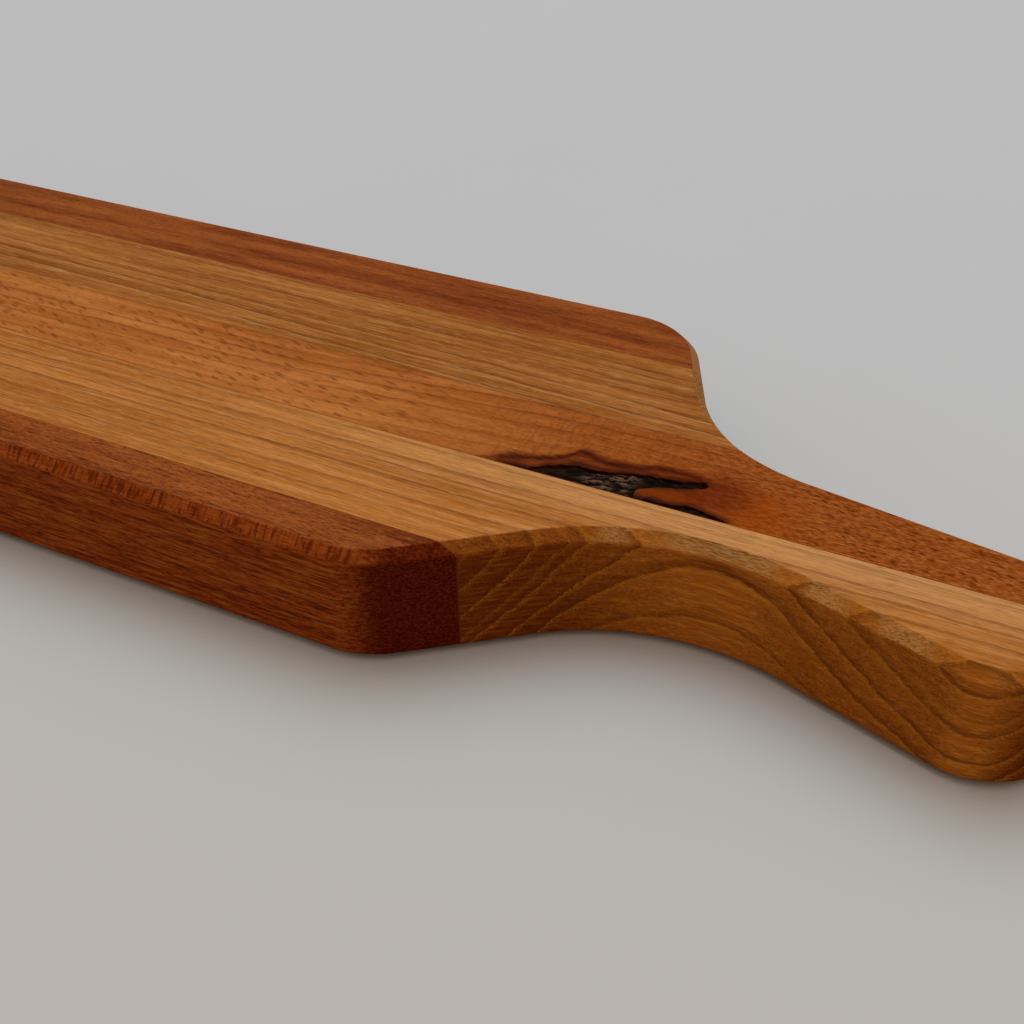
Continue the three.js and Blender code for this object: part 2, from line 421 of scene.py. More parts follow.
def streaks(tree, place, size, detail, seed):
    """Noise about one half, in patches of this length, width and depth in millimetres."""
    stretch = tuple(1 / side for side in size)
    stretched = add(
        tree, "VectorMath", {"operation": "MULTIPLY_ADD"}, {0: place, 1: stretch, 2: (seed, seed, seed)})
    return add(tree, "TexNoise", {}, {"Vector": stretched, "Scale": 1, "Detail": detail, "Roughness": 0.55})


def drift(tree, place, size, reach, seed):
    """A slow wandering, this many millimetres to either side."""
    return add(
        tree, "MapRange", {},
        {"Value": streaks(tree, place, size, 2, seed), "From Min": 0.2, "From Max": 0.8,
         "To Min": -reach, "To Max": reach})


def share(tree, value, low, high, most):
    """A value's way from low to high, as a share from nothing to the most."""
    return add(
        tree, "MapRange", {"interpolation_type": "SMOOTHSTEP"},
        {"Value": value, "From Min": low, "From Max": high, "To Max": most})


def product(tree, *values):
    """What several shares come to together."""
    result = values[0]
    for value in values[1:]:
        result = add(tree, "Math", {"operation": "MULTIPLY"}, {0: result, 1: value})
    return result


def window(tree, value, low, high, soft):
    """One where a value lies from low to high, with soft edges."""
    return product(
        tree, share(tree, value, low - soft, low + soft, 1), share(tree, value, high + soft, high - soft, 1))


def tinted(tree, colour, tint, amount):
    """A colour turned towards a tint by an amount."""
    return add(tree, "Mix", {"data_type": "RGBA"}, {"Factor": amount, "A": colour, "B": tint})


def layered(tree, colour, *layers):
    """A colour with tints laid over it in turn, each by its own amount."""
    for tint, amount in layers:
        colour = tinted(tree, colour, tint, amount)
    return colour


def wandering(tree, place, value, waves):
    """A value with drifts added to it, each of its own size, reach and seed."""
    for size, reach, seed in waves:
        value = add(tree, "Math", {"operation": "ADD"}, {0: value, 1: drift(tree, place, size, reach, seed)})
    return value


def facing(tree, place):
    """How far a surface shows the ends of the fibres, slopes like the chamfer and stands upright."""
    normal = add(tree, "TexCoord", {}, {})
    parts = add(tree, "SeparateXYZ", {}, {0: normal.outputs["Normal"]})
    across = add(tree, "Math", {"operation": "ABSOLUTE"}, {0: parts.outputs["X"]})
    ragged = wandering(tree, place, across, [((4, 0.5, 0.5), 0.12, 3.9)])
    ends = product(tree, share(tree, ragged, 0.05, 0.65, 1), share(tree, across, 0, 0.2, 1))
    slope = window(tree, parts.outputs["Z"], 0.5, 0.9, 0.06)
    upright = share(tree, parts.outputs["Z"], 0.6, 0.2, 1)
    return ends, slope, upright


def satin(tree, fibre):
    """Roughness of oiled wood, which varies a little with its fibres."""
    return add(tree, "MapRange", {}, {"Value": fibre, "To Min": 0.42, "To Max": 0.58})


def oiled_surface(tree, colour, height, roughness):
    """A thin satin oil finish over wood of this colour, with its pores as fine hollows."""
    bump = add(tree, "Bump", {}, {"Strength": 0.3, "Distance": 0.05 * MM, "Height": height})
    surface = add(
        tree, "BsdfPrincipled", {},
        {"Base Color": colour, "Roughness": roughness, "Specular IOR Level": 0.01, "Normal": bump})
    add(tree, "OutputMaterial", {}, {"Surface": surface})


def growth_lines(tree, radius, lines, before, after):
    """Darkness of growth lines of these places and strengths, with a climb before each and a fall after."""
    low = lines[0][0] - before
    high = lines[-1][0] + after
    across = add(tree, "MapRange", {}, {"Value": radius, "From Min": low, "From Max": high})
    ramp = add(tree, "ValToRGB", {}, {0: across})
    stops = ramp.color_ramp.elements
    stops[0].color = stops[1].color = (0, 0, 0, 1)
    for place, strength in lines:
        for offset, shade in ((-before, 0), (0, strength), (after, 0)):
            stop = stops.new((place + offset - low) / (high - low))
            stop.color = (shade, shade, shade, 1)
    return ramp


# Growth of the golden staves, in millimetres: the pith's place across the board and up, and the radius
# of each growth line round it, with its strength on the faces and on the walls
NEAR_PITH = (-114.3, 57.4)
NEAR_GROWTH_LINES = [
    (77.8, 0.3, 0.4), (81.3, 0.65, 0.6), (85.1, 0.65, 0.9), (88.2, 0.3, 0.5), (90.0, 0.8, 0.85),
    (92.4, 0.35, 0), (93.6, 0.75, 1.0), (96.3, 0.75, 1.0), (101.3, 0.6, 0.8),
]
FAR_PITH = (150.0, 90.0)
FAR_GRAIN_SLOPE = 0.038
FAR_GROWTH_LINES = [
    (132.8, 0.5, 0.5), (135.9, 0.4, 0.5), (138.6, 0.5, 0.5), (142.6, 0.4, 0.5), (145.4, 0.8, 0.5),
    (148.9, 0.95, 0.5), (152.9, 0.9, 0.5),
]
# Stretches along the board, in millimetres, where the chamfer has torn the golden staves' fibres
NEAR_TORN_PLACES = [(106, 111), (119, 139), (146, 153), (160, 169)]
FAR_TORN_PLACES = [(84, 116)]
# Dark late wood and pale early wood: millimetres that each takes up before and after a growth line
LATE_WOOD = (1.6, 0.2)
EARLY_WOOD = (0.2, 1.0)
# Marks of the golden wood: length, width and depth in millimetres. A fibre is about 0.02 mm wide, too fine
# to show in the render, so the fibres are drawn coarser than they are
ELM_SHADES = (80, 4, 4)
ELM_GRAIN = (45, 1.4, 1.4)
ELM_FIBRES = (8, 0.22, 0.22)
ELM_PORES = (3, 0.14, 0.14)
ELM_LINE_BREAKS = (18, 1.5, 1.5)
ELM_TORN_DOTS = (2, 0.2, 0.2)
ELM_TORN_BANDS = (9, 4, 0.6)
# How the growth lines wander: size of each wave, its reach to either side and its seed
ELM_WAVES = [((50, 14, 14), 0.6, 3.1), ((9, 3, 3), 0.3, 6.6), ((2.5, 0.8, 0.8), 0.15, 1.7)]


def oiled_elm(name, pale, deep, pith, grain_slope, lines, torn_places):
    """Elm, planed, sanded and oiled: growth lines circle the pith, so a curved wall shows arches."""
    colours = settings().colours
    # worn holds the pale golden colour, of the pale fibres and of the painted highlight towards the handle;
    # wall holds the walls' copy of the colour, with painted light and shade
    line_colour, worn, wall = colours.elm_line, colours.elm_pale_and_highlight, colours.elm_wall
    material, tree = new_material(name)
    place = board_place(tree)
    ends, slope, upright = facing(tree, place)
    steep = add(tree, "Math", {"operation": "MAXIMUM"}, {0: slope, 1: upright})
    parts = add(tree, "SeparateXYZ", {}, {0: place})
    slanted = add(
        tree, "Math", {"operation": "MULTIPLY_ADD"},
        {0: parts.outputs["X"], 1: grain_slope, 2: parts.outputs["Y"]})
    section = add(tree, "CombineXYZ", {}, {"Y": slanted, "Z": parts.outputs["Z"]})
    from_pith = add(tree, "VectorMath", {"operation": "DISTANCE"}, {0: section, 1: (0, *pith)})
    radius = wandering(tree, place, from_pith.outputs["Value"], ELM_WAVES)
    face_lines = [(at, on_face) for at, on_face, _ in lines]
    wall_lines = [(at, on_wall) for at, _, on_wall in lines]
    late_wood, early_wood = (
        add(tree, "Mix", {}, {
            "Factor": steep,
            "A": growth_lines(tree, radius, face_lines, before, after),
            "B": growth_lines(tree, radius, wall_lines, before, after)})
        for before, after in (LATE_WOOD, EARLY_WOOD))
    thin_line = add(tree, "Math", {"operation": "POWER"}, {0: late_wood, 1: 2.4})
    breaks = add(
        tree, "MapRange", {},
        {"Value": streaks(tree, place, ELM_LINE_BREAKS, 3, 7.7),
         "From Min": 0.3, "From Max": 0.7, "To Min": 0.4, "To Max": 0.9})
    shades = streaks(tree, place, ELM_SHADES, 2, 5.3)
    grain = streaks(tree, place, ELM_GRAIN, 3, 8.3)
    fibre = streaks(tree, place, ELM_FIBRES, 3, 1.9)
    pores = streaks(tree, place, ELM_PORES, 2, 9.4)
    # Painted highlight: the near stave's top turns paler towards the handle and along the beech, for the
    # light its oil throws back
    painted_highlight_band = product(
        tree, share(tree, parts.outputs["X"], 0, 130, 0.65), window(tree, parts.outputs["Y"], -25, -5, 6))
    # On the walls and the chamfer, pale fibres and lines take the walls' copies of their colours: painted
    # light and shade
    light = tinted(tree, worn, colours.elm_wall_pale, steep)
    dark = tinted(tree, line_colour, colours.elm_wall_line, steep)
    dots = share(tree, streaks(tree, place, ELM_TORN_DOTS, 1, 4.2), 0.42, 0.62, 1)
    bands = streaks(tree, place, ELM_TORN_BANDS, 3, 3.7)
    cut_ends = layered(
        tree, colours.elm_end,
        (wall, share(tree, fibre, 0.3, 0.7, 0.18)),
        (wall, share(tree, bands, 0.4, 0.7, 0.3)),
        (light, product(tree, early_wood, dots, 0.7)))
    colour = layered(
        tree, deep,
        (pale, share(tree, shades, 0.3, 0.7, 1)),
        (worn, painted_highlight_band),
        # The chamfer and the walls take the walls' copy of the colour: painted light and shade
        (wall, product(tree, slope, 0.65)),
        (wall, product(tree, upright, 0.95)),
        (light, product(tree, early_wood, 0.3)),
        (line_colour, product(tree, late_wood, 0.35)),
        (line_colour, share(tree, grain, 0.5, 0.25, 0.2)),
        (light, share(tree, grain, 0.5, 0.75, 0.25)),
        (light, product(tree, share(tree, grain, 0.5, 0.7, 0.4), upright)),
        (line_colour, share(tree, fibre, 0.5, 0.25, 0.5)),
        (light, share(tree, fibre, 0.5, 0.75, 0.5)),
        (line_colour, share(tree, pores, 0.55, 0.7, 0.5)),
        # Painted highlight: pale glints on the pores
        (colours.painted_glint, share(tree, pores, 0.45, 0.2, 0.42)),
        (cut_ends, product(tree, ends, 0.9)),
        (dark, product(tree, thin_line, breaks)))
    fuzz = add(tree, "Math", {"operation": "MULTIPLY_ADD"}, {0: dots, 1: 0.75, 2: 0.05})
    for start, end in torn_places:
        torn_here = window(tree, parts.outputs["X"], start, end, 2)
        colour = tinted(tree, colour, colours.torn_fibre, product(tree, slope, torn_here, fuzz))
    oiled_surface(tree, colour, pores, satin(tree, fibre))
    return material


# Marks of the red-brown wood: length, width and depth in millimetres, with fibres drawn coarser to show
SAPELE_RIBBONS = (60, 5, 6)
SAPELE_STRIPES = (9, 0.55, 0.55)
SAPELE_FIBRES = (4, 0.3, 0.3)
SAPELE_PORES = (1.6, 0.16, 0.16)
SAPELE_TICKS = (0.7, 4, 4)
SAPELE_TORN_DOTS = (2, 0.4, 0.3)


def oiled_sapele(name, figure, fuzz):
    """Sapele, sanded and oiled: soft ribbons, dark pores along the grain, cross ticks on the chamfer."""
    colours = settings().colours
    dark, pale, wall = colours.sapele_pore, colours.sapele_pale, colours.sapele_wall
    material, tree = new_material(name)
    place = board_place(tree)
    ends, slope, upright = facing(tree, place)
    ribbon = streaks(tree, place, SAPELE_RIBBONS, 3, 2.2)
    stripe = streaks(tree, place, SAPELE_STRIPES, 3, 4.9)
    fibre = streaks(tree, place, SAPELE_FIBRES, 3, 6.1)
    pores = streaks(tree, place, SAPELE_PORES, 2, 8.8)
    ticks = streaks(tree, place, SAPELE_TICKS, 2, 5.7)
    dots = share(tree, streaks(tree, place, SAPELE_TORN_DOTS, 2, 1.2), 0.4, 0.68, 1)
    cut_ends = tinted(tree, colours.sapele_end, colours.sapele_deep, product(tree, dots, 0.6))
    colour = layered(
        tree, colours.sapele_deep,
        (pale, share(tree, ribbon, 0.25, 0.75, 1)),
        # The walls take the walls' copy of the colour: painted light and shade
        (wall, product(tree, upright, 0.7)),
        (dark, share(tree, stripe, 0.5, 0.75, 0.6 * figure)),
        (pale, share(tree, stripe, 0.5, 0.25, 0.4 * figure)),
        (dark, share(tree, fibre, 0.5, 0.25, 0.6 * figure)),
        (pale, share(tree, fibre, 0.5, 0.75, 0.5 * figure)),
        (dark, share(tree, pores, 0.52, 0.7, 0.7 * figure)),
        # Painted highlight: pale glints on the pores
        (colours.painted_glint, share(tree, pores, 0.45, 0.2, 0.12 * figure)),
        (dark, product(tree, share(tree, stripe, 0.58, 0.3, 0.7), upright)),
        (pale, product(tree, share(tree, stripe, 0.5, 0.7, 0.7), upright)),
        # Painted highlight: warm pale glints along the stripes of the walls
        (colours.elm_wall_pale, product(tree, share(tree, stripe, 0.55, 0.75, 0.3), upright)),
        # The chamfer turns part way to the walls' copy of the colour: painted light and shade
        (wall, product(tree, slope, 0.35)),
        (dark, product(tree, share(tree, ticks, 0.48, 0.62, 0.65), slope)),
        (pale, product(tree, share(tree, ticks, 0.45, 0.3, 0.4), slope)),
        (cut_ends, share(tree, ends, 0, 0.9, 0.92)),
        (colours.sapele_fuzz, product(tree, ends, slope, fuzz)))
    oiled_surface(tree, colour, pores, satin(tree, fibre))
    return material


# Edge of the red-brown stain over the bark, in millimetres along and across the board
STAIN_EDGE = [
    (70, -18), (75.3, -15.9), (79, -13.9), (84.6, -12.1), (88.1, -10.6), (90.8, -8.3), (92.6, -6.1),
    (94.4, -6.3), (96.6, -7.1), (100.3, -7.3), (104.1, -6.8), (109.1, -4.9), (114.3, -4.6), (119.2, -5.1),
    (121.2, -7), (124, -18),
]
STAIN_EDDY = (122.8, -8.2, 25)


def edge_height(tree, along, edge):
    """How far across the board an edge reaches at each place along it, in millimetres."""
    first, last = edge[0], edge[-1]
    lowest, highest = -18, 0
    way = add(tree, "MapRange", {}, {"Value": along, "From Min": first[0], "From Max": last[0]})
    curve = add(tree, "FloatCurve", {}, {"Value": way})
    points = curve.mapping.curves[0].points
    for index, (x, y) in enumerate(edge):
        spot = ((x - first[0]) / (last[0] - first[0]), (y - lowest) / (highest - lowest))
        if index in (0, len(edge) - 1):
            points[0 if index == 0 else -1].location = spot
        else:
            points.new(*spot)
    curve.mapping.update()
    return add(tree, "MapRange", {}, {"Value": curve, "To Min": lowest, "To Max": highest})


def stained(tree, place, colour):
    """Wood with the stain that the bark has left: dark rim, red-brown inside, and painted shade, nearly
    black, on the pocket's walls.
    """
    colours = settings().colours
    stain, glow, scorch = colours.beech_stain, colours.beech_glow, colours.beech_scorch
    parts = add(tree, "SeparateXYZ", {}, {0: place})
    along, across = parts.outputs["X"], parts.outputs["Y"]
    waver = drift(tree, place, (5, 3, 3), 0.7, 1.1)
    wavy = add(tree, "Math", {"operation": "ADD"}, {0: across, 1: waver})
    edge = edge_height(tree, along, STAIN_EDGE)
    outside = add(tree, "Math", {"operation": "SUBTRACT"}, {0: wavy, 1: edge})
    off_line = add(tree, "Math", {"operation": "ABSOLUTE"}, {0: outside})
    patches = add(
        tree, "MapRange", {},
        {"Value": streaks(tree, place, (4, 0.8, 0.8), 3, 2.3),
         "From Min": 0.3, "From Max": 0.65, "To Min": 0.65})
    ending = share(tree, along, 123, 117, 1)
    near_line = product(tree, share(tree, along, 74, 80, 1), ending, patches)
    island = product(tree, window(tree, along, 108, 121, 2.5), window(tree, across, -15, -10, 0.8))
    past_tip = product(tree, window(tree, along, 112, 138, 8), share(tree, across, -1, -7, 0.8))
    eddy = add(tree, "VectorMath", {"operation": "DISTANCE"}, {0: place, 1: STAIN_EDDY})
    swirl = add(tree, "Math", {"operation": "ADD"}, {0: eddy.outputs["Value"], 1: waver})
    colour = layered(
        tree, colour,
        (stain, product(tree, share(tree, outside, 0.4, -0.6, 0.82), patches, ending)),
        (glow, past_tip),
        (glow, product(tree, island, patches, 0.6)),
        (stain, product(tree, island, patches, 0.55)),
        (stain, product(tree, share(tree, off_line, 2.6, 0.4, 0.8), near_line)),
        (colours.beech_halo, product(tree, share(tree, off_line, 1.5, 0, 0.85), near_line)),
        (stain, product(tree, share(tree, swirl, 10, 2, 0.9), patches)))
    start, glue_face = (metres / MM for metres in bark_start())
    for outline, below in ((BARK_INCLUSION[:BARK_TIP], 5), (BARK_STREAK, 4)):
        bark = [(start + x, glue_face + y) for x, y in outline]
        beside = add(
            tree, "Math", {"operation": "SUBTRACT"}, {0: wavy, 1: edge_height(tree, along, bark)})
        reach = window(tree, along, bark[0][0], bark[-1][0], 1)
        near_bark = product(
            tree, share(tree, beside, 1.9, 0.2, 0.95), share(tree, beside, -below, -below / 2, 1), reach)
        colour = tinted(tree, colour, scorch, product(tree, near_bark, patches))
    beside_glue = window(tree, along, 79, 126, 4)
    for reach, tint in ((2.6, scorch), (0.9, colours.crack_and_shade_black)):
        seam = share(tree, across, glue_face + reach, glue_face + reach / 4, 0.9)
        colour = tinted(tree, colour, tint, product(tree, seam, beside_glue))
    top = CAD_HIGH.z / MM
    # Painted shade: the walls of the pocket round the bark are turned nearly black
    in_pocket = share(tree, parts.outputs["Z"], top - 0.02, top - 0.4, 1)
    pocket_shade = product(tree, in_pocket, share(tree, outside, 3, 1, 1))
    return tinted(tree, colour, colours.crack_and_shade_black, pocket_shade)


# Growth lines of the beech, in millimetres across the board at its underside, and their strengths
BEECH_GROWTH_LINES = [
    (-3.4, 0.8), (0.8, 0.8), (4.4, 0.5), (7.2, 0.9), (11.4, 1.0), (15.4, 1.0), (19.0, 0.8), (22.6, 0.6),
]
# Marks of the beech: length, width and depth in millimetres, with fibres drawn coarser to show
BEECH_SHADES = (45, 4, 4)
BEECH_FIBRES = (8, 0.25, 0.25)
BEECH_SPECKLE = (1.4, 0.35, 0.35)
BEECH_RIPPLE = (0.6, 2.5, 2.5)
PANEL_FLECKS = (4.2, 1.1, 5)
HANDLE_FLECKS = (2, 0.8, 4)
# How the growth lines and the flecks wander: size of each wave, its reach to either side and its seed
BEECH_WAVES = [((30, 6, 6), 0.6, 8.1), ((4, 1.5, 1.5), 0.3, 2.6)]
FLECK_WAVES = [((1.6, 1.2, 1.2), 0.25, 7.2)]


def oiled_beech():
    """Beech, sanded and oiled: short dark ray flecks, and growth lines that rise over the bark."""
    colours = settings().colours
    pale, fleck_colour = colours.beech_pale, colours.beech_fleck
    material, tree = new_material("oiled_beech")
    place = board_place(tree)
    parts = add(tree, "SeparateXYZ", {}, {0: place})
    along, across = parts.outputs["X"], parts.outputs["Y"]
    ends, _, _ = facing(tree, place)
    shades = streaks(tree, place, BEECH_SHADES, 3, 4.4)
    fibre = streaks(tree, place, BEECH_FIBRES, 3, 2.7)
    speckle = streaks(tree, place, BEECH_SPECKLE, 3, 6.9)
    rise = share(tree, along, 0, 110, 8.7)
    level = add(tree, "Math", {"operation": "SUBTRACT"}, {0: across, 1: rise})
    sunk = add(tree, "Math", {"operation": "MULTIPLY_ADD"}, {0: parts.outputs["Z"], 1: 0.6, 2: level})
    ring = wandering(tree, place, sunk, BEECH_WAVES)
    late_wood = growth_lines(tree, ring, BEECH_GROWTH_LINES, 2, 0.5)
    thin_line = add(tree, "Math", {"operation": "POWER"}, {0: late_wood, 1: 4})
    sharp = add(tree, "MapRange", {}, {"Value": along, "From Min": 40, "From Max": 140, "To Min": 0.4})
    colour = layered(
        tree, colours.beech_deep,
        (pale, share(tree, shades, 0.3, 0.7, 1)),
        (colours.beech_handle, share(tree, along, 20, 120, 1)),
        (fleck_colour, share(tree, fibre, 0.5, 0.25, 0.35)),
        (pale, share(tree, fibre, 0.5, 0.75, 0.35)),
        (fleck_colour, product(tree, late_wood, 0.2)),
        (fleck_colour, product(tree, thin_line, 0.5)),
        (fleck_colour, product(tree, share(tree, speckle, 0.52, 0.3, 0.55), sharp)),
        # Painted highlight: pale glints on the speckle
        (colours.painted_glint, product(tree, share(tree, speckle, 0.52, 0.8, 0.16), sharp)))
    on_panel = share(tree, along, 70, 45, 0.55)
    on_handle = share(tree, along, 120, 140, 0.85)
    for cell, lean, where in ((PANEL_FLECKS, 0.3, on_panel), (HANDLE_FLECKS, 0.25, on_handle)):
        leaning = add(tree, "Math", {"operation": "MULTIPLY_ADD"}, {0: along, 1: lean, 2: level})
        uneven = wandering(tree, place, leaning, FLECK_WAVES)
        spot = add(tree, "CombineXYZ", {}, {"X": along, "Y": uneven, "Z": parts.outputs["Z"]})
        stretch = tuple(1 / side for side in cell)
        cells = add(tree, "VectorMath", {"operation": "MULTIPLY"}, {0: spot, 1: stretch})
        flecks = add(tree, "TexVoronoi", {}, {"Vector": cells, "Scale": 1, "Randomness": 1})
        odds = add(tree, "SeparateColor", {}, {0: flecks.outputs["Color"]})
        size = add(
            tree, "Math", {"operation": "MULTIPLY_ADD"}, {0: odds, 1: 0.4, 2: flecks.outputs["Distance"]})
        colour = tinted(tree, colour, fleck_colour, product(tree, share(tree, size, 0.62, 0.18, 1), where))
    ripple = share(tree, streaks(tree, place, BEECH_RIPPLE, 1, 5.5), 0.48, 0.65, 0.25)
    colour = tinted(tree, colour, fleck_colour, product(tree, ripple, window(tree, along, 72, 118, 12)))
    past_bark = share(tree, along, 108, 124, 1)
    colour = layered(
        tree, stained(tree, place, colour),
        (colours.beech_stain, product(tree, share(tree, speckle, 0.52, 0.32, 0.4), past_bark)),
        # Painted highlight: pale glints on the speckle past the bark
        (pale, product(tree, share(tree, speckle, 0.5, 0.72, 0.14), past_bark)),
        (colours.beech_end, product(tree, ends, 0.7)))
    oiled_surface(tree, colour, fibre, satin(tree, fibre))
    return material


def cured_glue():
    """Yellow wood glue, scraped and sanded flush: a thin brown line with small darker breaks."""
    colours = settings().colours
    material, tree = new_material("cured_wood_glue")
    place = board_place(tree)
    breaks = streaks(tree, place, (6, 1, 1), 2, 3.3)
    _, _, upright = facing(tree, place)
    colour = tinted(tree, colours.glue, colours.elm_line, share(tree, breaks, 0.5, 0.7, 0.6))
    colour = tinted(tree, colour, colours.elm_line, product(tree, upright, 0.8))
    oiled_surface(tree, colour, breaks, 0.5)
    return material


def dry_bark():
    """Bark as it grew, brushed clean: brown plates, worn grey in the middle, over nearly black cracks."""
    colours = settings().colours
    material, tree = new_material("dry_bark")
    place = board_place(tree)
    parts = add(tree, "SeparateXYZ", {}, {0: place})
    height = add(tree, "Attribute", {"attribute_name": "bark_height"}, {})
    scales = streaks(tree, place, (2.4, 0.5, 0.5), 4, 1.4)
    raised = add(tree, "Math", {"operation": "ADD"}, {0: height.outputs["Fac"], 1: scales})
    colour = tinted(
        tree, colours.crack_and_shade_black, colours.bark_inner, share(tree, raised, 0.75, 1.05, 1))
    middle = add(
        tree, "MapRange", {}, {"Value": window(tree, parts.outputs["X"], 96, 106, 2), "To Min": 0.05})
    worn = product(tree, share(tree, raised, 0.95, 1.25, 1), middle)
    colour = tinted(tree, colour, colours.bark_plate, worn)
    bump = add(tree, "Bump", {}, {"Strength": 0.8, "Distance": 0.25 * MM, "Height": scales})
    surface = add(
        tree, "BsdfPrincipled", {},
        {"Base Color": colour, "Roughness": 0.9, "Specular IOR Level": 0.03, "Normal": bump})
    add(tree, "OutputMaterial", {}, {"Surface": surface})
    return material


def matt_floor():
    """Painted board, rolled and matt: an even pale grey with a faint mottle, and painted warm light in
    front.
    """
    studio = settings().studio
    material, tree = new_material("matt_painted_floor")
    place = board_place(tree)
    parts = add(tree, "SeparateXYZ", {}, {0: place})
    mottle = streaks(tree, place, (60, 60, 60), 3, 0.5)
    shade = add(tree, "MapRange", {}, {"Value": mottle, "To Min": 0.985, "To Max": 1.015})
    # Painted light: the floor turns to its warmer colour towards the front
    colour = tinted(
        tree, studio.floor, studio.floor_painted_warmth, share(tree, parts.outputs["Y"], 120, -120, 1))
    colour = add(tree, "VectorMath", {"operation": "SCALE"}, {0: colour, 1: shade})
    surface = add(
        tree, "BsdfPrincipled", {}, {"Base Color": colour, "Roughness": 0.8, "Specular IOR Level": 0.1})
    add(tree, "OutputMaterial", {}, {"Surface": surface})
    return material


# Bark

SPLINE_STEPS = 10
RAGGED_REACH = 0.45 * MM
RAGGED_LENGTH = 1.6 * MM
BARK_GRID = 0.3 * MM
BARK_CLEARANCE = 0.1 * MM
# Plates of the bark: their turn from the grain, then their length and width in millimetres
PLATE_TURN = math.radians(22)
PLATE_LENGTH = 3.2
PLATE_WIDTH = 1.1
# The bark lies lower past its thick body, and its plates rise over this width from the rim
BODY_LENGTH = 18 * MM
RIM_WIDTH = 0.8 * MM
RIM_LEVEL = 0.75
TAIL_DROP = 0.6


def flowing_line(points):
    """A smooth line through points, by the uniform Catmull-Rom formula."""
    line = []
    for index in range(len(points) - 1):
        start, end = points[index], points[index + 1]
        before = points[max(index - 1, 0)]
        after = points[min(index + 2, len(points) - 1)]
        leave = (end - before) / 2
        arrive = (after - start) / 2
        for step in range(SPLINE_STEPS):
            t = step / SPLINE_STEPS
            line.append(
                start * (2 * t ** 3 - 3 * t ** 2 + 1) + leave * (t ** 3 - 2 * t ** 2 + t)
                + end * (3 * t ** 2 - 2 * t ** 3) + arrive * (t ** 3 - t ** 2))
    return line + [points[-1]]


def bark_line(points):
    """An outline of the bark on the board, in metres."""
    start, glue_face = bark_start()
    line = flowing_line([Vector((start + along * MM, glue_face + inward * MM)) for along, inward in points])
    for index in range(1, len(line) - 1):
        sideways = (line[index + 1] - line[index - 1]).normalized().orthogonal()
        reach = min(RAGGED_REACH, (line[index].y - glue_face) / 2)
        line[index] += sideways * noise.noise(line[index].to_3d() / RAGGED_LENGTH) * reach
    return line


def distance_to(point, line):
    """Shortest distance from a point to a line of points."""
    nearest = math.inf
    for start, end in zip(line, line[1:]):
        foot, way = geometry.intersect_point_line(point, start, end)
        foot = start if way < 0 else end if way > 1 else foot
        nearest = min(nearest, (point - foot.to_2d()).length)
    return nearest


def bark_pocket(points, depth):
    """A closed solid that cuts the bark's pocket, open at the top and towards the glue line."""
    line = bark_line(points)
    past = Vector((0, settings().bark.depth))
    loop = [line[0] - past, *line, line[-1] - past]
    pocket = bmesh.new()
    floor = [pocket.verts.new((*point, CAD_HIGH.z - depth)) for point in loop]
    rim = [pocket.verts.new((*point, CAD_HIGH.z + depth)) for point in loop]
    for corner in zip(floor, floor[1:] + floor[:1], rim[1:] + rim[:1], rim):
        pocket.faces.new(corner)
    pocket.faces.new(floor)
    pocket.faces.new(rim)
    bmesh.ops.recalc_face_normals(pocket, faces=pocket.faces)
    data = bpy.data.meshes.new("bark_pocket")
    pocket.to_mesh(data)
    pocket.free()
    return bpy.data.objects.new("bark_pocket", data)


def bark_mesh(points, node):
    """Bark with plates and cracks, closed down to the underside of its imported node."""
    bark = settings().bark
    line = bark_line(points)
    outward = [
        (following - last).normalized().orthogonal()
        for last, following in zip([line[-1]] + line[:-1], line[1:] + line[:1])
    ]
    rim = [point - out * BARK_CLEARANCE for point, out in zip(line, outward)]
    low = Vector((min(p.x for p in rim), min(p.y for p in rim)))
    high = Vector((max(p.x for p in rim), max(p.y for p in rim)))
    across = math.ceil((high.x - low.x) / BARK_GRID)
    up = math.ceil((high.y - low.y) / BARK_GRID)
    grid = [
        low + Vector(((column + 0.5 * (row % 2)) * BARK_GRID, row * BARK_GRID))
        for column in range(across) for row in range(up)
    ]
    count = len(rim)
    edges = [(index, (index + 1) % count) for index in range(count)]
    flat, _, triangles, *_ = geometry.delaunay_2d_cdt(rim + grid, edges, [], 1, CUT_TOLERANCE)
    mesh = bmesh.new()
    used = {index for triangle in triangles for index in triangle}
    heights = mesh.verts.layers.float.new("bark_height")
    closed_rim = rim + rim[:1]
    verts = {}
    for index in used:
        point = flat[index]
        turned = Matrix.Rotation(-PLATE_TURN, 2) @ point
        spot = Vector((turned.x / PLATE_LENGTH, turned.y / PLATE_WIDTH, 0)) / MM
        plates = noise.fractal(spot, 0.8, 2.1, 4) * 0.5 + 0.5
        sunk = max(0, min(1, (point.x - low.x - BODY_LENGTH) / BODY_LENGTH))
        rise = min(1, RIM_LEVEL - TAIL_DROP * sunk + distance_to(point, closed_rim) / RIM_WIDTH)
        level = max(0, min(1, plates)) * rise
        vert = mesh.verts.new((point.x, point.y, CAD_HIGH.z - bark.recess - bark.relief * (1 - level)))
        vert[heights] = level
        verts[index] = vert
    for triangle in triangles:
        mesh.faces.new([verts[index] for index in triangle])
    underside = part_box(node)[0].z
    open_edges = [edge for edge in mesh.edges if edge.is_boundary]
    skirt = bmesh.ops.extrude_edge_only(mesh, edges=open_edges)["geom"]
    for vert in skirt:
        if isinstance(vert, bmesh.types.BMVert):
            vert.co.z = underside
    bmesh.ops.holes_fill(mesh, edges=[edge for edge in mesh.edges if edge.is_boundary], sides=0)
    return mesh


# Operators

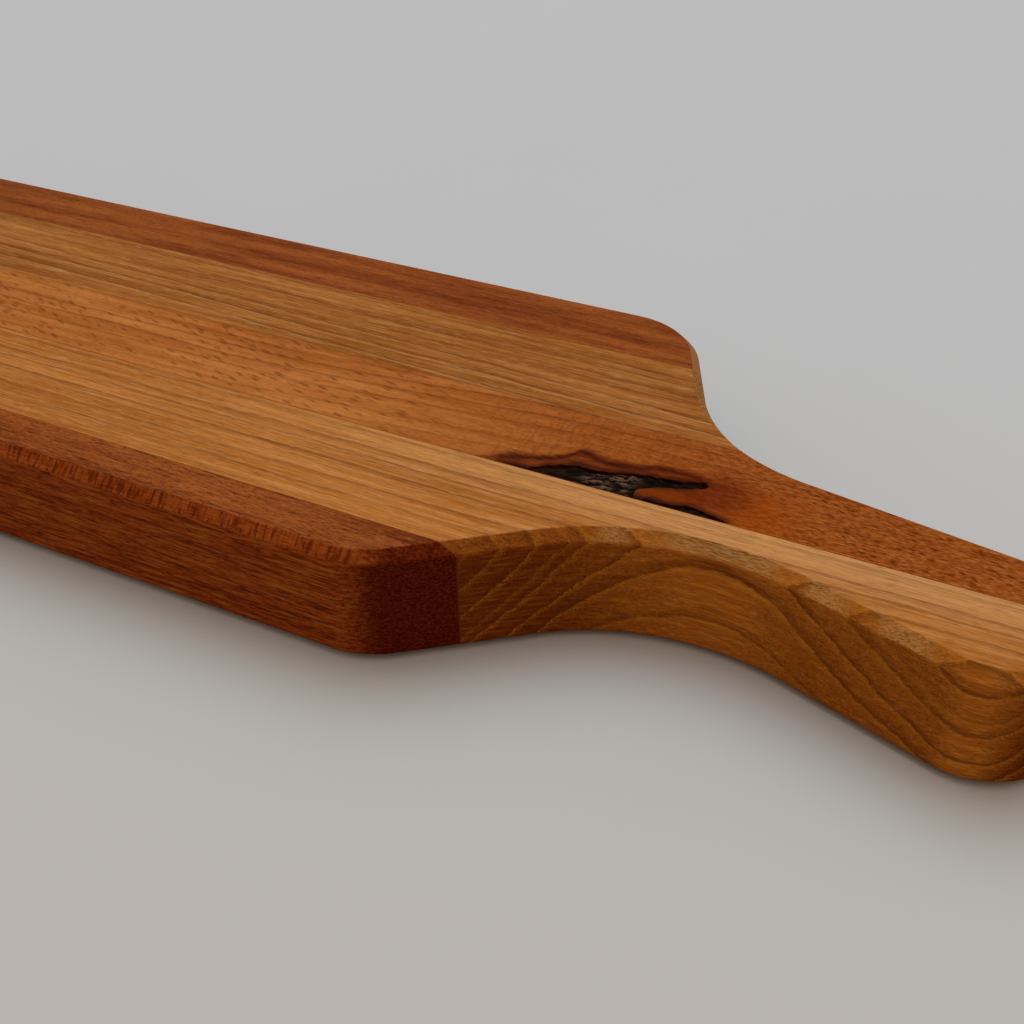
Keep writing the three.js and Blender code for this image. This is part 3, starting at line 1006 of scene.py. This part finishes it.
class BOARD_OT_red_staves(bpy.types.Operator):
    """Build the two outer staves of red-brown wood"""

    bl_idname = "cutting_board.red_staves"
    bl_label = "Red staves"

    def execute(self, context):
        near = oiled_sapele("oiled_sapele_near", figure=1.4, fuzz=0)
        far = oiled_sapele("oiled_sapele_far", figure=0.9, fuzz=0.8)
        for node, sapele in (("near_red_stave", near), ("far_red_stave", far)):
            piece_from(layer_mesh(node), node + "_wood", node, sapele)
        return {"FINISHED"}


class BOARD_OT_light_staves(bpy.types.Operator):
    """Build the two staves of golden wood"""

    bl_idname = "cutting_board.light_staves"
    bl_label = "Light staves"

    def execute(self, context):
        colours = context.scene.cutting_board.colours
        near = oiled_elm(
            "oiled_elm_near", colours.elm_pale, colours.elm_deep,
            NEAR_PITH, 0, NEAR_GROWTH_LINES, NEAR_TORN_PLACES)
        far = oiled_elm(
            "oiled_elm_far", colours.elm_far_pale, colours.elm_far_deep,
            FAR_PITH, FAR_GRAIN_SLOPE, FAR_GROWTH_LINES, FAR_TORN_PLACES)
        for node, elm in (("near_light_stave", near), ("far_light_stave", far)):
            piece_from(layer_mesh(node), node + "_wood", node, elm)
        return {"FINISHED"}


class BOARD_OT_beech_stave(bpy.types.Operator):
    """Build the middle stave of beech, with the pockets of the bark"""

    bl_idname = "cutting_board.beech_stave"
    bl_label = "Beech stave"

    def execute(self, context):
        node = "centre_beech_stave"
        bark = context.scene.cutting_board.bark
        piece = piece_from(layer_mesh(node), node + "_wood", node, oiled_beech())
        for points, depth in ((BARK_INCLUSION, bark.depth), (BARK_STREAK, bark.streak_depth)):
            pocket = bark_pocket(points, depth)
            context.scene.collection.objects.link(pocket)
            hollow = piece.modifiers.new("Bark pocket", "BOOLEAN")
            hollow.object = pocket
            hollow.solver = "EXACT"
            with context.temp_override(object=piece, active_object=piece):
                bpy.ops.object.modifier_move_to_index(modifier=hollow.name, index=0)
                bpy.ops.object.modifier_apply(modifier=hollow.name)
            bpy.data.objects.remove(pocket)
        if not piece.data.polygons:
            raise RuntimeError("Cutting the bark's pockets left nothing of the beech stave")
        return {"FINISHED"}


class BOARD_OT_glue_lines(bpy.types.Operator):
    """Build the four films of glue between the staves"""

    bl_idname = "cutting_board.glue_lines"
    bl_label = "Glue lines"

    def execute(self, context):
        glue = cured_glue()
        for side in ("near_outer", "near_inner", "far_inner", "far_outer"):
            node = side + "_glue_line"
            piece_from(layer_mesh(node), node + "_film", node, glue)
        return {"FINISHED"}


class BOARD_OT_bark(bpy.types.Operator):
    """Build the ingrown bark and its streak"""

    bl_idname = "cutting_board.bark"
    bl_label = "Bark"

    def execute(self, context):
        material = dry_bark()
        for node, points in (("bark_inclusion", BARK_INCLUSION), ("bark_streak", BARK_STREAK)):
            piece_from(bark_mesh(points, node), node + "_relief", node, material)
        return {"FINISHED"}


# Stage, in metres: the camera's place and aim, the lamp and the floor
CAMERA_PLACE = Vector((0.17418, -0.20439, 0.16769))
CAMERA_BEARING = math.radians(116.317)
CAMERA_DIP = math.radians(36.452)
CAMERA_ROLL = math.radians(-0.398)
LAMP_PLACE = Vector((-1.42, 2.83, 7.13))
LAMP_SIZE = 7.9
NEAREST_SEEN = 0.01
FLOOR_SIZE = 6.0
FLOOR_SEGMENTS = 8
# A thin rest under the middle of the board, which doesn't show, holds its edges off the floor,
# over a dark gap
REST_SIZE = Vector((160, 60, 1.2)) * MM


class BOARD_OT_stage(bpy.types.Operator):
    """Set up the pale floor, the soft light and the camera"""

    bl_idname = "cutting_board.stage"
    bl_label = "Stage"

    def execute(self, context):
        scene = context.scene
        studio = scene.cutting_board.studio
        self.lay_floor(scene)
        self.hang_lamp(scene, studio)
        self.light_sky(scene, studio)
        self.set_camera(scene, studio)
        scene.view_settings.view_transform = "Standard"
        return {"FINISHED"}

    def lay_floor(self, scene):
        mesh = bmesh.new()
        bmesh.ops.create_grid(
            mesh, x_segments=FLOOR_SEGMENTS, y_segments=FLOOR_SEGMENTS, size=FLOOR_SIZE / 2)
        rest = Matrix.LocRotScale((0, 0, REST_SIZE.z / 2), None, REST_SIZE)
        bmesh.ops.create_cube(mesh, size=1, matrix=rest)
        data = bpy.data.meshes.new("floor")
        mesh.to_mesh(data)
        mesh.free()
        data.materials.append(matt_floor())
        floor = bpy.data.objects.new("floor", data)
        floor.location.z = CAD_LOW.z - REST_SIZE.z
        scene.collection.objects.link(floor)

    def hang_lamp(self, scene, studio):
        lamp_data = bpy.data.lights.new("soft_lamp", "AREA")
        lamp_data.shape = "DISK"
        lamp_data.size = LAMP_SIZE
        lamp_data.energy = studio.lamp_power
        lamp_data.color = studio.lamp
        lamp = bpy.data.objects.new("soft_lamp", lamp_data)
        lamp.location = LAMP_PLACE
        lamp.rotation_mode = "QUATERNION"
        lamp.rotation_quaternion = (-LAMP_PLACE).to_track_quat("-Z", "Y")
        scene.collection.objects.link(lamp)

    def light_sky(self, scene, studio):
        world = bpy.data.worlds.new("soft_sky")
        world.use_nodes = True
        tree = world.node_tree
        tree.nodes.clear()
        path = add(tree, "LightPath", {}, {})
        direct = path.outputs["Is Camera Ray"]
        for kind in ("Is Glossy Ray", "Is Transmission Ray"):
            direct = add(tree, "Math", {"operation": "MAXIMUM"}, {0: direct, 1: path.outputs[kind]})
        towards = add(tree, "SeparateXYZ", {}, {0: add(tree, "TexCoord", {}, {})})
        strength = studio.sky_strength
        for axis, gain in (("Y", studio.sky_lean), ("Z", studio.sky_rise)):
            strength = add(
                tree, "Math", {"operation": "MULTIPLY_ADD"},
                {0: towards.outputs[axis], 1: studio.sky_strength * gain, 2: strength})
        sky = add(tree, "Background", {}, {"Color": studio.sky, "Strength": strength})
        backdrop = add(tree, "Background", {}, {"Color": studio.floor, "Strength": 1})
        seen = add(tree, "MixShader", {}, {0: direct, 1: sky, 2: backdrop})
        add(tree, "OutputWorld", {}, {"Surface": seen})
        scene.world = world

    def set_camera(self, scene, studio):
        camera_data = bpy.data.cameras.new("camera")
        camera_data.lens = studio.lens
        camera = bpy.data.objects.new("camera", camera_data)
        level = math.cos(CAMERA_DIP)
        aim = Vector((
            math.cos(CAMERA_BEARING) * level, math.sin(CAMERA_BEARING) * level, -math.sin(CAMERA_DIP)))
        camera.location = CAMERA_PLACE
        camera.rotation_mode = "QUATERNION"
        camera.rotation_quaternion = aim.to_track_quat("-Z", "Y") @ Quaternion((0, 0, 1), CAMERA_ROLL)
        camera_data.clip_start = NEAREST_SEEN
        scene.collection.objects.link(camera)
        scene.camera = camera


class VIEW3D_PT_cutting_board(bpy.types.Panel):
    """Sizes, colours and build steps of the board"""

    bl_label = "Cutting board"
    bl_space_type = "VIEW_3D"
    bl_region_type = "UI"
    bl_category = "Board"

    def draw(self, context):
        board = context.scene.cutting_board
        for step in STEPS:
            self.layout.operator(step.bl_idname)
        for group in (board.sizes, board.bark, board.colours, board.studio):
            box = self.layout.box()
            for name in group.bl_rna.properties.keys():
                if name not in ("rna_type", "name"):
                    box.prop(group, name)


STEPS = (
    BOARD_OT_red_staves,
    BOARD_OT_light_staves,
    BOARD_OT_beech_stave,
    BOARD_OT_glue_lines,
    BOARD_OT_bark,
    BOARD_OT_stage,
)
GROUPS = (BoardSizes, BarkSizes, WoodColours, StudioSettings, BoardSettings)
CLASSES = (*GROUPS, *STEPS, VIEW3D_PT_cutting_board)


def register():
    for each in CLASSES:
        bpy.utils.register_class(each)
    bpy.types.Scene.cutting_board = PointerProperty(type=BoardSettings)


def unregister():
    del bpy.types.Scene.cutting_board
    for each in reversed(CLASSES):
        bpy.utils.unregister_class(each)


def main():
    register()
    bpy.ops.cutting_board.red_staves()
    bpy.ops.cutting_board.light_staves()
    bpy.ops.cutting_board.beech_stave()
    bpy.ops.cutting_board.glue_lines()
    bpy.ops.cutting_board.bark()
    bpy.ops.cutting_board.stage()


if __name__ == "__main__":
    main()
